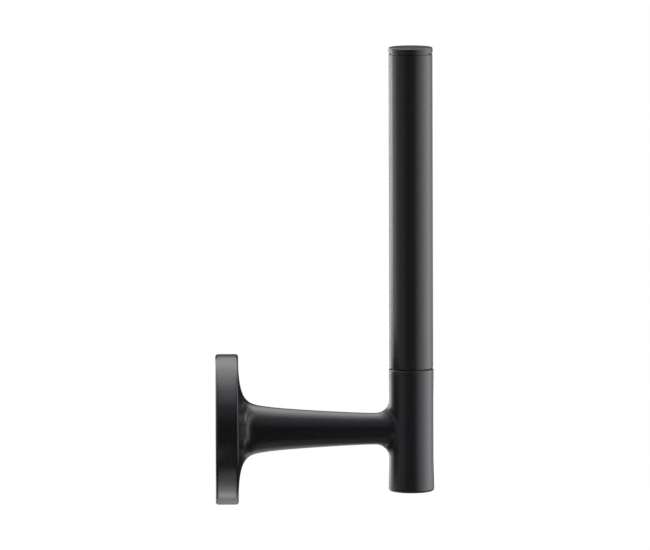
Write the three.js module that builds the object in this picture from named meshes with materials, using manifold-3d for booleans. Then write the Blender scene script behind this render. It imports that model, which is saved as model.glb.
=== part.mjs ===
// Spare toilet paper holder for the wall, matt black: a round flange whose trumpet neck runs into a slim
// tapering arm, and an upright post at the arm's end that the roll drops over.
//
// Millimetres, +Z up. The origin is the centre of the flange's back on the wall, on the arm's axis. The wall
// is the plane y = 0 and the arm reaches out along -Y, so a distance from the wall is -y.

import * as THREE from 'three';
import { mergeVertices } from 'three/addons/utils/BufferGeometryUtils.js';
import Module from 'manifold-3d';

const wasm = await Module();
wasm.setup();

// Wall flange
const flangeDiameter = 65;
const flangeThickness = 9.9;
const flangeFrontEdgeRadius = 1.2;
const flangeBackEdgeRadius = 1.2;
const flangeRimWall = 3.4;
const flangeFaceWall = 2.4;
const recessCornerRadius = 1.2;

// Trumpet neck and tapering arm
const flareLength = 12.4;
const neckDiameter = 19.5;
const armEndDiameter = 13.65;
const armReach = 84.6;
const teeFilletRadius = 6;
const teeFilletRunIn = 0.6;

// How the neck's curve leaves the flange face and runs on into the arm, and where the fillet's skin dips
// into the sleeve
const flareFaceShare = 0.95;
const flareNeckShare = 0.675;
const armHandleShare = 1 / 6;
const neckSlopeShare = 0.15;
const filletEndShare = 0.95;
const filletSinkShare = 0.3;

// Hollow behind the flange, cored into the neck
const coreMouthDiameter = 17;
const coreEndDiameter = 9;
const coreDepth = 40;
const coreMouthFlare = 3.6;

// Sleeve of the casting, upright at the arm's end
const sleeveTopDiameter = 19.3;
const sleeveWaistDiameter = 19;
const sleeveBottomDiameter = 19.7;
const sleeveRise = 26;
const sleeveDrop = 27.1;
const sleeveTopChamfer = 0.3;
const sleeveBottomEdgeRadius = 1.3;

// Joint between sleeve and tube
const seamHeight = 0.5;
const seamSetback = 0.5;
const plugLength = 20;
const plugSeatDepth = 4;
const studDiameter = 8;
const studLength = 26;
const studChamfer = 0.8;
const studHoleSpare = 1.5;

// Post tube
const tubeDiameter = 18.85;
const tubeWall = 1.5;
const tubeLength = 135.9;
const tubeEdgeChamfer = 0.25;

// End cap and its rubber ring
const capDiameter = 19;
const capLipHeight = 2.4;
const capEdgeRadius = 0.6;
const capGrooveHeight = 0.5;
const capGrooveDepth = 0.8;
const spigotLength = 10;
const spigotChamfer = 0.6;
const ringSectionDiameter = 1.5;
const ringGrooveDistance = 4;
const ringGrooveSpare = 0.3;

// Wall bracket
const bracketHeight = 5.8;
const bracketWeb = 2.6;
const bracketRimWidth = 6.2;
const bracketBevel = 4.5;
const bracketFrontChamfer = 0.5;
const slotWidth = 5.2;
const slotLength = 9;
const slotSpacing = 34;

// Grub screw under the flange
const grubDiameter = 4;
const grubLength = 4;
const grubWallDistance = 3.4;
const grubSocketAcrossFlats = 2;
const grubSocketDepth = 1.6;
const grubTipFlatDiameter = 0.4;

// Clearances
const fitGap = 0.2;
const bracketGap = 0.3;
const screwGap = 0.15;
const cutOverrun = 1;
const weldDistance = 1e-4;

// Facets
const roundSteps = 48;
const smallRoundSteps = 24;
const edgeSteps = 3;
const flareSteps = 14;
const armSteps = 8;
const filletSteps = 8;
const ringSteps = 8;

// Sizes that follow from the ones above
const flangeRadius = flangeDiameter / 2;
const neckRadius = neckDiameter / 2;
const armEndRadius = armEndDiameter / 2;
const recessRadius = flangeRadius - flangeRimWall;
const recessDepth = flangeThickness - flangeFaceWall;
const sleeveWaistRadius = sleeveWaistDiameter / 2;
const tubeRadius = tubeDiameter / 2;
const tubeBoreRadius = tubeRadius - tubeWall;
const plugRadius = tubeBoreRadius - fitGap;
const studRadius = studDiameter / 2;
const studHoleRadius = studRadius + fitGap;
const tubeBottom = sleeveRise + seamHeight;
const tubeTop = tubeBottom + tubeLength;
const bracketRadius = recessRadius - bracketGap;
const grubRadius = grubDiameter / 2;

// Finishes
const castingBlack = { color: 0x1b1b1c, roughness: 0.48, metalness: 0 };
const tubeBlack = { color: 0x1a1a1b, roughness: 0.45, metalness: 0 };
const capBlack = { color: 0x1c1c1d, roughness: 0.45, metalness: 0 };
const bareSteel = { color: 0xa7a9ab, roughness: 0.38, metalness: 1 };
const darkSteel = { color: 0x3a3b3d, roughness: 0.42, metalness: 1 };
const brass = { color: 0xb5924c, roughness: 0.36, metalness: 1 };
const blackNylon = { color: 0x0d0d0e, roughness: 0.6, metalness: 0 };
const blackRubber = { color: 0x101011, roughness: 0.8, metalness: 0 };

// A closed geometry as a solid that can be joined to others and cut
function solidOf(geometry) {
  const bare = geometry.clone();
  bare.deleteAttribute('normal');
  bare.deleteAttribute('uv');
  const welded = mergeVertices(bare, weldDistance);
  const corners = welded.index.array;
  const triangles = [];
  for (let i = 0; i < corners.length; i += 3) {
    const [a, b, c] = corners.slice(i, i + 3);
    if (a !== b && b !== c && c !== a) triangles.push(a, b, c);
  }
  const vertProperties = new Float32Array(welded.attributes.position.array);
  const triVerts = new Uint32Array(triangles);
  return new wasm.Manifold(new wasm.Mesh({ numProp: 3, vertProperties, triVerts }));
}

// A solid back as a geometry
function geometryOf(solid) {
  const { vertProperties, triVerts } = solid.getMesh();
  const geometry = new THREE.BufferGeometry();
  geometry.setAttribute('position', new THREE.BufferAttribute(vertProperties, 3));
  geometry.setIndex(new THREE.BufferAttribute(triVerts, 1));
  geometry.computeVertexNormals();
  return geometry;
}

// One solid with the others taken out of it
function cut(solid, ...tools) {
  return tools.reduce((rest, tool) => rest.subtract(tool), solid);
}

// Profiles are lists of points (radius, height), written bottom to top up the outside
function at(radius, height) {
  return new THREE.Vector2(radius, height);
}

// Quarter round of a profile about its centre, from one angle to the other
function edgeArc(centre, radius, fromAngle, toAngle, steps = edgeSteps) {
  const points = [];
  for (let i = 0; i <= steps; i += 1) {
    const angle = fromAngle + ((toAngle - fromAngle) * i) / steps;
    points.push(at(centre.x + radius * Math.cos(angle), centre.y + radius * Math.sin(angle)));
  }
  return points;
}

// Turned piece about the post's axis, its heights measured along Z
function turnedUpright(profile, steps = roundSteps) {
  return new THREE.LatheGeometry(profile, steps).rotateX(Math.PI / 2);
}

// Turned piece about the arm's axis, its heights measured out from the wall
function turnedOutward(profile, steps = roundSteps) {
  return new THREE.LatheGeometry(profile, steps).rotateX(Math.PI);
}

// Plain round bar between two heights on the post's axis
function bar(radius, bottom, top, steps = roundSteps) {
  return turnedUpright([at(0, bottom), at(radius, bottom), at(radius, top), at(0, top)], steps);
}

// Outline of flange, neck and arm as seen from above: distance from the wall against radius
function armProfile() {
  const backEdge = at(flangeRadius - flangeBackEdgeRadius, flangeBackEdgeRadius);
  const frontEdge = at(flangeRadius - flangeFrontEdgeRadius, flangeThickness - flangeFrontEdgeRadius);
  const faceEnd = at(frontEdge.x, flangeThickness);
  const neckEnd = at(neckRadius, flangeThickness + flareLength);
  const armEnd = at(armEndRadius, armReach - sleeveWaistRadius - teeFilletRadius - teeFilletRunIn);
  const armLength = armEnd.y - neckEnd.y;
  const flareDrop = (faceEnd.x - neckEnd.x) * flareFaceShare;
  const flareRun = flareLength * flareNeckShare;
  const flare = new THREE.CubicBezierCurve(
    faceEnd,
    at(faceEnd.x - flareDrop, flangeThickness),
    at(neckEnd.x + flareRun * neckSlopeShare, neckEnd.y - flareRun),
    neckEnd,
  );
  const armHandle = armLength * armHandleShare;
  const taper = new THREE.CubicBezierCurve(
    neckEnd,
    at(neckEnd.x - armHandle * neckSlopeShare, neckEnd.y + armHandle),
    at(armEnd.x, armEnd.y - armHandle),
    armEnd,
  );
  return [
    ...edgeArc(backEdge, flangeBackEdgeRadius, -Math.PI / 2, 0),
    ...edgeArc(frontEdge, flangeFrontEdgeRadius, 0, Math.PI / 2),
    ...flare.getPoints(flareSteps).slice(1),
    ...taper.getPoints(armSteps).slice(1),
  ];
}

// Ring of the arm: a circle about the arm's axis at one distance from the wall
function armRing(point) {
  const ring = [];
  for (let i = 0; i < roundSteps; i += 1) {
    const turn = (2 * Math.PI * i) / roundSteps;
    ring.push(new THREE.Vector3(point.x * Math.cos(turn), -point.y, point.x * Math.sin(turn)));
  }
  return ring;
}

// Ring of the tee's fillet. A ball that touches both arm and sleeve rolls round the corner between them, and
// the ring joins the ball's surface at one share of the way from its touch on the arm to that on the sleeve.
function filletRing(share, sink = 0) {
  const ring = [];
  const outFromArm = armEndRadius + teeFilletRadius;
  const outFromPost = sleeveWaistRadius + teeFilletRadius;
  for (let i = 0; i < roundSteps; i += 1) {
    const turn = (2 * Math.PI * i) / roundSteps;
    const across = outFromArm * Math.cos(turn);
    const toWall = Math.sqrt(outFromPost ** 2 - across ** 2);
    const centre = new THREE.Vector3(across, toWall - armReach, outFromArm * Math.sin(turn));
    const toArm = new THREE.Vector3(-Math.cos(turn), 0, -Math.sin(turn));
    const toPost = new THREE.Vector3(-across, -toWall, 0).divideScalar(outFromPost);
    const sweep = toArm.angleTo(toPost);
    const reach = toArm.multiplyScalar(Math.sin((1 - share) * sweep));
    reach.addScaledVector(toPost, Math.sin(share * sweep)).divideScalar(Math.sin(sweep));
    ring.push(centre.addScaledVector(reach, teeFilletRadius).addScaledVector(toPost, sink));
  }
  return ring;
}

// Closed skin through a row of rings, each end closed by a fan to its own middle point
function skinThrough(rings, startMiddle, endMiddle) {
  const positions = [...rings.flat(), startMiddle, endMiddle].flatMap((point) => point.toArray());
  const startCorner = rings.length * roundSteps;
  const endCorner = startCorner + 1;
  const lastRing = (rings.length - 1) * roundSteps;
  const triangles = [];
  for (let i = 0; i < roundSteps; i += 1) {
    const next = (i + 1) % roundSteps;
    triangles.push(startCorner, next, i, endCorner, lastRing + i, lastRing + next);
    for (let row = 0; row < lastRing; row += roundSteps) {
      triangles.push(row + i, row + next, row + roundSteps + i);
      triangles.push(row + next, row + roundSteps + next, row + roundSteps + i);
    }
  }
  const geometry = new THREE.BufferGeometry();
  geometry.setAttribute('position', new THREE.Float32BufferAttribute(positions, 3));
  geometry.setIndex(triangles);
  return geometry;
}

// Flange, neck, arm and tee fillet as one flowing skin that ends inside the sleeve
function armSkin() {
  const rings = armProfile().map(armRing);
  for (let i = 0; i <= filletSteps; i += 1) {
    rings.push(filletRing((filletEndShare * i) / filletSteps));
  }
  rings.push(filletRing(1, sleeveWaistRadius * filletSinkShare));
  const wallMiddle = new THREE.Vector3(0, 0, 0);
  const postMiddle = new THREE.Vector3(0, -armReach, 0);
  return skinThrough(rings, wallMiddle, postMiddle);
}

// Upright sleeve of the casting, a little wider at both ends than at its waist
function sleeve() {
  const top = sleeveTopDiameter / 2;
  const bottomEdge = at(sleeveBottomDiameter / 2 - sleeveBottomEdgeRadius, sleeveBottomEdgeRadius - sleeveDrop);
  const waistEdge = armEndRadius + teeFilletRadius;
  const profile = [
    at(0, -sleeveDrop),
    ...edgeArc(bottomEdge, sleeveBottomEdgeRadius, -Math.PI / 2, 0),
    at(sleeveWaistRadius, -waistEdge),
    at(sleeveWaistRadius, waistEdge),
    at(top, sleeveRise - sleeveTopChamfer),
    at(top - sleeveTopChamfer, sleeveRise),
    at(0, sleeveRise),
  ];
  return turnedUpright(profile).translate(0, -armReach, 0);
}

// Space behind the flange that the bracket sits in, running on into the cored neck
function rearHollow() {
  const corner = at(recessRadius - recessCornerRadius, recessDepth - recessCornerRadius);
  const mouth = coreMouthDiameter / 2;
  const end = coreEndDiameter / 2;
  const mouthCurve = new THREE.QuadraticBezierCurve(
    at(mouth + coreMouthFlare, recessDepth),
    at(mouth, recessDepth),
    at(mouth, recessDepth + coreMouthFlare),
  );
  const profile = [
    at(0, -cutOverrun),
    at(recessRadius, -cutOverrun),
    ...edgeArc(corner, recessCornerRadius, 0, Math.PI / 2),
    ...mouthCurve.getPoints(edgeSteps),
    at(end, coreDepth - end),
    ...edgeArc(at(0, coreDepth - end), end, 0, Math.PI / 2).slice(1, -1),
    at(0, coreDepth),
  ];
  return turnedOutward(profile);
}

// Seat for the joint plug and the blind hole for the stud, sunk into the sleeve's top
function sleeveSeat() {
  const seatRadius = plugRadius + fitGap;
  const seatFloor = sleeveRise - plugSeatDepth - fitGap;
  const holeFloor = sleeveRise - plugLength / 2 - studLength / 2 - studHoleSpare;
  const profile = [
    at(0, holeFloor),
    at(studHoleRadius, holeFloor),
    at(studHoleRadius, seatFloor),
    at(seatRadius, seatFloor),
    at(seatRadius, sleeveRise + cutOverrun),
    at(0, sleeveRise + cutOverrun),
  ];
  return turnedUpright(profile).translate(0, -armReach, 0);
}

// Hole for the grub screw through the lowest point of the flange's rim
function grubHole() {
  const hole = bar(grubRadius + screwGap, -flangeRadius - cutOverrun, -recessRadius + cutOverrun, smallRoundSteps);
  return hole.translate(0, -grubWallDistance, 0);
}

function holderBody() {
  const casting = solidOf(armSkin()).add(solidOf(sleeve()));
  const hollow = solidOf(rearHollow());
  const seat = solidOf(sleeveSeat());
  return geometryOf(cut(casting, hollow, seat, solidOf(grubHole())));
}

// Slot with round ends that stands upright in the bracket's web
function screwSlot(side) {
  const halfStraight = (slotLength - slotWidth) / 2;
  const outline = new THREE.Shape();
  outline.absarc(0, halfStraight, slotWidth / 2, 0, Math.PI);
  outline.absarc(0, -halfStraight, slotWidth / 2, Math.PI, 2 * Math.PI);
  const depth = bracketWeb + 2 * cutOverrun;
  const slot = new THREE.ExtrudeGeometry(outline, { depth, bevelEnabled: false, curveSegments: smallRoundSteps / 2 });
  return slot.rotateX(Math.PI / 2).translate((side * slotSpacing) / 2, cutOverrun, 0);
}

// Round plate on the wall: thin web with two screw slots, and a thick rim bevelled towards the wall
function wallBracket() {
  const webEdge = bracketRadius - bracketRimWidth;
  const profile = [
    at(0, 0),
    at(bracketRadius - bracketBevel, 0),
    at(bracketRadius, bracketBevel),
    at(bracketRadius, bracketHeight - bracketFrontChamfer),
    at(bracketRadius - bracketFrontChamfer, bracketHeight),
    at(webEdge + bracketFrontChamfer, bracketHeight),
    at(webEdge, bracketHeight - bracketFrontChamfer),
    at(webEdge, bracketWeb),
    at(0, bracketWeb),
  ];
  const plate = solidOf(turnedOutward(profile));
  return geometryOf(cut(plate, solidOf(screwSlot(-1)), solidOf(screwSlot(1))));
}

// Set screw whose cone point bears on the bracket's bevel and draws the flange to the wall
function grubScrew() {
  const bevelAtScrew = bracketRadius - bracketBevel + grubWallDistance;
  const tipFlat = grubTipFlatDiameter / 2;
  const tip = bevelAtScrew + tipFlat + fitGap * Math.SQRT2;
  const socketRadius = grubSocketAcrossFlats / Math.sqrt(3);
  const profile = [
    at(0, -tip - grubLength),
    at(grubRadius, -tip - grubLength),
    at(grubRadius, tipFlat - grubRadius - tip),
    at(tipFlat, -tip),
    at(0, -tip),
  ];
  const socket = bar(socketRadius, -tip - grubLength - cutOverrun, -tip - grubLength + grubSocketDepth, 6);
  const screw = cut(solidOf(turnedUpright(profile, smallRoundSteps)), solidOf(socket));
  return geometryOf(screw).translate(0, -grubWallDistance, 0);
}

function postTube() {
  const innerEdge = tubeBoreRadius + tubeEdgeChamfer;
  const outerEdge = tubeRadius - tubeEdgeChamfer;
  return turnedUpright([
    at(innerEdge, tubeBottom),
    at(outerEdge, tubeBottom),
    at(tubeRadius, tubeBottom + tubeEdgeChamfer),
    at(tubeRadius, tubeTop - tubeEdgeChamfer),
    at(outerEdge, tubeTop),
    at(innerEdge, tubeTop),
    at(tubeBoreRadius, tubeTop - tubeEdgeChamfer),
    at(tubeBoreRadius, tubeBottom + tubeEdgeChamfer),
    at(innerEdge, tubeBottom),
  ]);
}

// Thin ring between sleeve and tube, set back from the tube's face so that the seam reads as a dark line
function seamRing() {
  const inner = plugRadius + fitGap;
  const outer = tubeRadius - seamSetback;
  return turnedUpright([
    at(inner, sleeveRise),
    at(outer, sleeveRise),
    at(outer, tubeBottom),
    at(inner, tubeBottom),
    at(inner, sleeveRise),
  ]);
}

// Plug in the tube's lower end; its foot centres the tube in the sleeve
function jointPlug() {
  const foot = sleeveRise - plugSeatDepth;
  const top = foot + plugLength;
  return turnedUpright([
    at(studHoleRadius, foot),
    at(plugRadius - studChamfer, foot),
    at(plugRadius, foot + studChamfer),
    at(plugRadius, top - studChamfer),
    at(plugRadius - studChamfer, top),
    at(studHoleRadius, top),
    at(studHoleRadius, foot),
  ]);
}

// Threaded stud, half in the plug and half in the sleeve
function jointStud() {
  const middle = sleeveRise - plugLength / 2;
  return turnedUpright([
    at(0, middle - studLength / 2),
    at(studRadius - studChamfer, middle - studLength / 2),
    at(studRadius, middle - studLength / 2 + studChamfer),
    at(studRadius, middle + studLength / 2 - studChamfer),
    at(studRadius - studChamfer, middle + studLength / 2),
    at(0, middle + studLength / 2),
  ]);
}

// Cap with a rounded lip, a shadow groove under it and a spigot that carries the rubber ring
function endCap() {
  const lipRadius = capDiameter / 2;
  const neck = tubeRadius - capGrooveDepth;
  const lipBottom = tubeTop + capGrooveHeight;
  const lipTop = lipBottom + capLipHeight;
  const spigotEnd = tubeTop - spigotLength;
  const ringMiddle = tubeTop - ringGrooveDistance;
  const grooveHalf = (ringSectionDiameter + ringGrooveSpare) / 2;
  const grooveFloor = tubeBoreRadius - fitGap / 2 - ringSectionDiameter - fitGap / 2;
  return turnedUpright([
    at(0, spigotEnd),
    at(plugRadius - spigotChamfer, spigotEnd),
    at(plugRadius, spigotEnd + spigotChamfer),
    at(plugRadius, ringMiddle - grooveHalf),
    at(grooveFloor, ringMiddle - grooveHalf),
    at(grooveFloor, ringMiddle + grooveHalf),
    at(plugRadius, ringMiddle + grooveHalf),
    at(plugRadius, tubeTop),
    at(neck, tubeTop),
    at(neck, lipBottom),
    at(lipRadius, lipBottom),
    ...edgeArc(at(lipRadius - capEdgeRadius, lipTop - capEdgeRadius), capEdgeRadius, 0, Math.PI / 2),
    at(0, lipTop),
  ]);
}

// Rubber ring in the spigot's groove, filling the tube's bore
function capRing() {
  const section = ringSectionDiameter / 2;
  const middle = at(tubeBoreRadius - fitGap / 2 - section, tubeTop - ringGrooveDistance);
  return turnedUpright(edgeArc(middle, section, 0, 2 * Math.PI, ringSteps));
}

// A named piece in its finish, standing where it is placed
function piece(name, geometry, finish) {
  const mesh = new THREE.Mesh(geometry, new THREE.MeshStandardMaterial(finish));
  mesh.name = name;
  return mesh;
}

// Everything on the post's axis, which the group moves out to the arm's end
function post() {
  const group = new THREE.Group();
  group.position.set(0, -armReach, 0);
  group.add(
    piece('joint_stud', jointStud(), bareSteel),
    piece('joint_plug', jointPlug(), brass),
    piece('seam_ring', seamRing(), blackNylon),
    piece('post_tube', postTube(), tubeBlack),
    piece('cap_o_ring', capRing(), blackRubber),
    piece('end_cap', endCap(), capBlack),
  );
  return group;
}

function holder() {
  const group = new THREE.Group();
  group.add(
    piece('wall_bracket', wallBracket(), bareSteel),
    piece('grub_screw', grubScrew(), darkSteel),
    piece('holder_body', holderBody(), castingBlack),
    post(),
  );
  return group;
}

export default holder();
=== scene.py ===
"""Spare toilet paper holder: the finished look of its casting, post and wall fixing.

Metres, +Z up, the wall in the plane Y = 0 and the arm reaching out along -Y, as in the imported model.
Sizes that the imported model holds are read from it; the others are named here, in millimetres times MM.
"""

import math

import bmesh
import bpy
import numpy as np
from mathutils import Matrix, Vector


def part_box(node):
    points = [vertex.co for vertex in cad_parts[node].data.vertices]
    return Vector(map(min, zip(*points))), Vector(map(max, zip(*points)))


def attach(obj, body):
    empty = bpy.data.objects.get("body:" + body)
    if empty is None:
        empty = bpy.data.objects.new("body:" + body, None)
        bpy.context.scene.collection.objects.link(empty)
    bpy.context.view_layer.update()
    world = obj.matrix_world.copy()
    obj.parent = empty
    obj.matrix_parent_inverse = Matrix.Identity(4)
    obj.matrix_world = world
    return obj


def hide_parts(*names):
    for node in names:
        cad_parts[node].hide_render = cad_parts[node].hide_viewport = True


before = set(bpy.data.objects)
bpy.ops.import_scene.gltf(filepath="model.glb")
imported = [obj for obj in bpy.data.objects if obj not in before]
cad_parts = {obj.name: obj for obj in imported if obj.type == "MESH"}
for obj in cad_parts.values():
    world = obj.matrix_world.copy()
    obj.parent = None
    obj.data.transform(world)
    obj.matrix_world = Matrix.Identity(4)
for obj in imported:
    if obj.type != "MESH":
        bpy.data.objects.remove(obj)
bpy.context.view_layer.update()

MM = 0.001

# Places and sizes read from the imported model
body_low, body_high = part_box("holder_body")
tube_low, tube_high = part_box("post_tube")
ring_low, ring_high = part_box("seam_ring")
cap_low, cap_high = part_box("end_cap")
plug_low, plug_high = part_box("joint_plug")
stud_low, stud_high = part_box("joint_stud")
o_ring_low, o_ring_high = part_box("cap_o_ring")
bracket_low, bracket_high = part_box("wall_bracket")
grub_low, grub_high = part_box("grub_screw")

FLANGE_RADIUS = body_high.x
POST_Y = (tube_low.y + tube_high.y) / 2
ARM_REACH = -POST_Y
TUBE_RADIUS = tube_high.x
SEAT_Z = ring_low.z
TUBE_BOTTOM_Z = tube_low.z
TUBE_TOP_Z = tube_high.z
CAP_RADIUS = cap_high.x
CAP_TOP_Z = cap_high.z
PLUG_RADIUS = plug_high.x
STUD_RADIUS = stud_high.x
BRACKET_RADIUS = bracket_high.x
BRACKET_HEIGHT = -bracket_low.y
GRUB_RADIUS = grub_high.x
GRUB_Y = (grub_low.y + grub_high.y) / 2

# Casting: flange, trumpet neck, arm
FLANGE_THICKNESS = 9.9 * MM
FLANGE_FRONT_EDGE = 1.2 * MM
FLANGE_BACK_EDGE = 1.2 * MM
FLANGE_RIM_WALL = 3.4 * MM
FLANGE_FACE_WALL = 2.4 * MM
RECESS_CORNER = 1.2 * MM
RECESS_CHAMFER = 0.3 * MM
RECESS_CHAMFER_DEPTH = 0.4 * MM
BACK_RING_STEP = 0.5 * MM
FLARE_LENGTH = 12.4 * MM
NECK_RADIUS = 9.75 * MM
ARM_END_RADIUS = 6.825 * MM
FLARE_FACE_SHARE = 0.95
FLARE_NECK_SHARE = 0.675
ARM_HANDLE_SHARE = 1 / 6
NECK_SLOPE = 0.15
CORE_MOUTH_RADIUS = 8.5 * MM
CORE_MOUTH_FLARE = 3.6 * MM
CORE_END_RADIUS = 4.5 * MM
CORE_DEPTH = 40 * MM

# Casting: tee fillet and sleeve
TEE_FILLET = 6 * MM
TEE_RUN_IN = 0.6 * MM
SLEEVE_WAIST_RADIUS = 9.5 * MM
SLEEVE_TOP_RADIUS = 9.65 * MM
SLEEVE_BOTTOM_RADIUS = abs(body_low.y) - ARM_REACH
SLEEVE_DROP = 27.1 * MM
SLEEVE_TOP_EDGE = 0.3 * MM
SLEEVE_BOTTOM_EDGE = 1.3 * MM
SEAT_DEPTH = SEAT_Z - plug_low.z
SEAT_CHAMFER = 0.25 * MM
FIT_GAP = 0.2 * MM
STUD_HOLE_FLOOR_Z = stud_low.z - 1.5 * MM

# Wall bracket: the web behind its rim, and how far apart its two slots are
BRACKET_WEB = 2.6 * MM
SLOT_SPACING = 34 * MM

# Facets of the casting's skin: along the flare, the arm and the fillet, and in the patch, which is the
# stretch of the sleeve round the fillet's foot. A ring about the arm has as many steps as its border.
FLARE_STEPS = 44
ARM_STEPS = 36
FILLET_STEPS = 18
PATCH_RINGS = 9
PATCH_ROWS = 68
PATCH_COLUMNS = 52
PATCH_HALF_HEIGHT = 19 * MM
SKIN_STEPS = 2 * (PATCH_ROWS + PATCH_COLUMNS)
SLEEVE_END_ROWS = 7

# Facets of the turned pieces and of a thread, how near two points count as one, and where an edge is sharp
TURN_STEPS = 160
ROWS_PER_THREAD = 8
TURNING_WELD = 0.001 * MM
SKIN_WELD = 0.002 * MM
SHARP_ANGLE = math.radians(32)


def transformed(mesh, matrix):
    """The mesh moved to its place, so that its object can stay at the origin."""
    mesh.transform(matrix)
    return mesh


def finished(name, mesh, material, node):
    """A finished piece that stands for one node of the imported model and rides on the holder."""
    mesh.materials.clear()
    mesh.materials.append(material)
    mesh.polygons.foreach_set("use_smooth", [True] * len(mesh.polygons))
    mesh.set_sharp_from_angle(angle=SHARP_ANGLE)
    piece = bpy.data.objects.new(name, mesh)
    bpy.context.scene.collection.objects.link(piece)
    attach(piece, "root")
    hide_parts(node)
    return piece


# Profiles: lists of points (radius, height), from pole to pole or round a closed section


def arc(centre, radius, start, end, steps):
    """Points of a round edge of a profile about its centre, angles in degrees."""
    angles = np.radians(np.linspace(start, end, steps + 1))
    return [(centre[0] + radius * math.cos(a), centre[1] + radius * math.sin(a)) for a in angles]


def bezier(points, steps):
    """Points of a cubic curve, without its first point."""
    p0, p1, p2, p3 = (np.array(p) for p in points)
    share = np.linspace(0, 1, steps + 1)[1:, None]
    rest = 1 - share
    curve = rest**3 * p0 + 3 * rest**2 * share * p1 + 3 * rest * share**2 * p2 + share**3 * p3
    return [tuple(p) for p in curve]


# Turned pieces, made by one node tree: a profile goes round its axis, with a thread or a hexagon if asked


def add_node(tree, kind, settings=None, inputs=None):
    node = tree.nodes.new(kind)
    for key, value in (settings or {}).items():
        setattr(node, key, value)
    for key, value in (inputs or {}).items():
        if isinstance(value, bpy.types.NodeSocket):
            tree.links.new(value, node.inputs[key])
        else:
            node.inputs[key].default_value = value
    return node


def math_node(tree, operation, first, second=0.0, third=0.0):
    node = add_node(tree, "ShaderNodeMath", {"operation": operation}, {0: first, 1: second, 2: third})
    return node.outputs[0]


def turning_tree():
    """Geometry nodes: the profile's points, carried round the Z axis in a number of steps."""
    tree = bpy.data.node_groups.new("Turned piece", "GeometryNodeTree")
    sockets = (
        ("Profile", "NodeSocketGeometry"),
        ("Steps", "NodeSocketInt"),
        ("Thread depth", "NodeSocketFloat"),
        ("Thread pitch", "NodeSocketFloat"),
        ("Finish", "NodeSocketMaterial"),
    )
    for name, kind in sockets:
        tree.interface.new_socket(name, in_out="INPUT", socket_type=kind)
    tree.interface.new_socket("Piece", in_out="OUTPUT", socket_type="NodeSocketGeometry")
    given = add_node(tree, "NodeGroupInput").outputs
    count = add_node(tree, "GeometryNodeAttributeDomainSize", None, {"Geometry": given["Profile"]})
    rows = count.outputs["Point Count"]
    columns = math_node(tree, "ADD", given["Steps"], 1.0)
    grid = add_node(tree, "GeometryNodeMeshGrid", None, {"Vertices X": columns, "Vertices Y": rows})
    index = add_node(tree, "GeometryNodeInputIndex").outputs[0]
    row, column = (
        add_node(tree, "FunctionNodeIntegerMath", {"operation": operation}, {0: index, 1: rows}).outputs[0]
        for operation in ("MODULO", "DIVIDE")
    )
    turns = math_node(tree, "DIVIDE", column, given["Steps"])
    angle = math_node(tree, "MULTIPLY", turns, 2 * math.pi)

    def from_profile(value, kind):
        settings = {"data_type": kind, "domain": "POINT"}
        inputs = {"Geometry": given["Profile"], "Value": value, "Index": row}
        return add_node(tree, "GeometryNodeSampleIndex", settings, inputs).outputs["Value"]

    def named(name):
        node = add_node(tree, "GeometryNodeInputNamedAttribute", {"data_type": "FLOAT"}, {"Name": name})
        return from_profile(node.outputs["Attribute"], "FLOAT")

    place = from_profile(add_node(tree, "GeometryNodeInputPosition").outputs[0], "FLOAT_VECTOR")
    split = add_node(tree, "ShaderNodeSeparateXYZ", None, {0: place})
    radius, height = split.outputs[0], split.outputs[2]
    climb = math_node(tree, "DIVIDE", height, given["Thread pitch"])
    phase = math_node(tree, "SUBTRACT", climb, turns)
    flank = math_node(tree, "PINGPONG", phase, 0.5)
    groove = math_node(tree, "MULTIPLY", math_node(tree, "MULTIPLY", flank, 2.0), given["Thread depth"])
    threaded = math_node(tree, "SUBTRACT", radius, math_node(tree, "MULTIPLY", groove, named("thread")))
    sixth = math.pi / 3
    corner = math_node(tree, "MODULO", angle, sixth)
    off_flat = math_node(tree, "SUBTRACT", corner, sixth / 2)
    flat = math_node(tree, "DIVIDE", math.cos(sixth / 2), math_node(tree, "COSINE", off_flat))
    loss = math_node(tree, "SUBTRACT", 1.0, flat)
    kept = math_node(tree, "SUBTRACT", 1.0, math_node(tree, "MULTIPLY", loss, named("hexagon")))
    final = math_node(tree, "MULTIPLY", threaded, kept)
    across = math_node(tree, "MULTIPLY", final, math_node(tree, "COSINE", angle))
    along = math_node(tree, "MULTIPLY", final, math_node(tree, "SINE", angle))
    point = add_node(tree, "ShaderNodeCombineXYZ", None, {0: across, 1: along, 2: height})
    moved = add_node(
        tree, "GeometryNodeSetPosition", None,
        {"Geometry": grid.outputs["Mesh"], "Position": point.outputs[0]},
    )
    closed = add_node(
        tree, "GeometryNodeMergeByDistance", None,
        {"Geometry": moved.outputs["Geometry"], "Distance": TURNING_WELD},
    )
    solid = add_node(tree, "GeometryNodeRealizeInstances", None, {"Geometry": closed.outputs["Geometry"]})
    coated = add_node(
        tree, "GeometryNodeSetMaterial", None,
        {"Geometry": solid.outputs["Geometry"], "Material": given["Finish"]},
    )
    add_node(tree, "NodeGroupOutput", None, {"Piece": coated.outputs["Geometry"]})
    return tree


TURNING = turning_tree()


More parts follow.
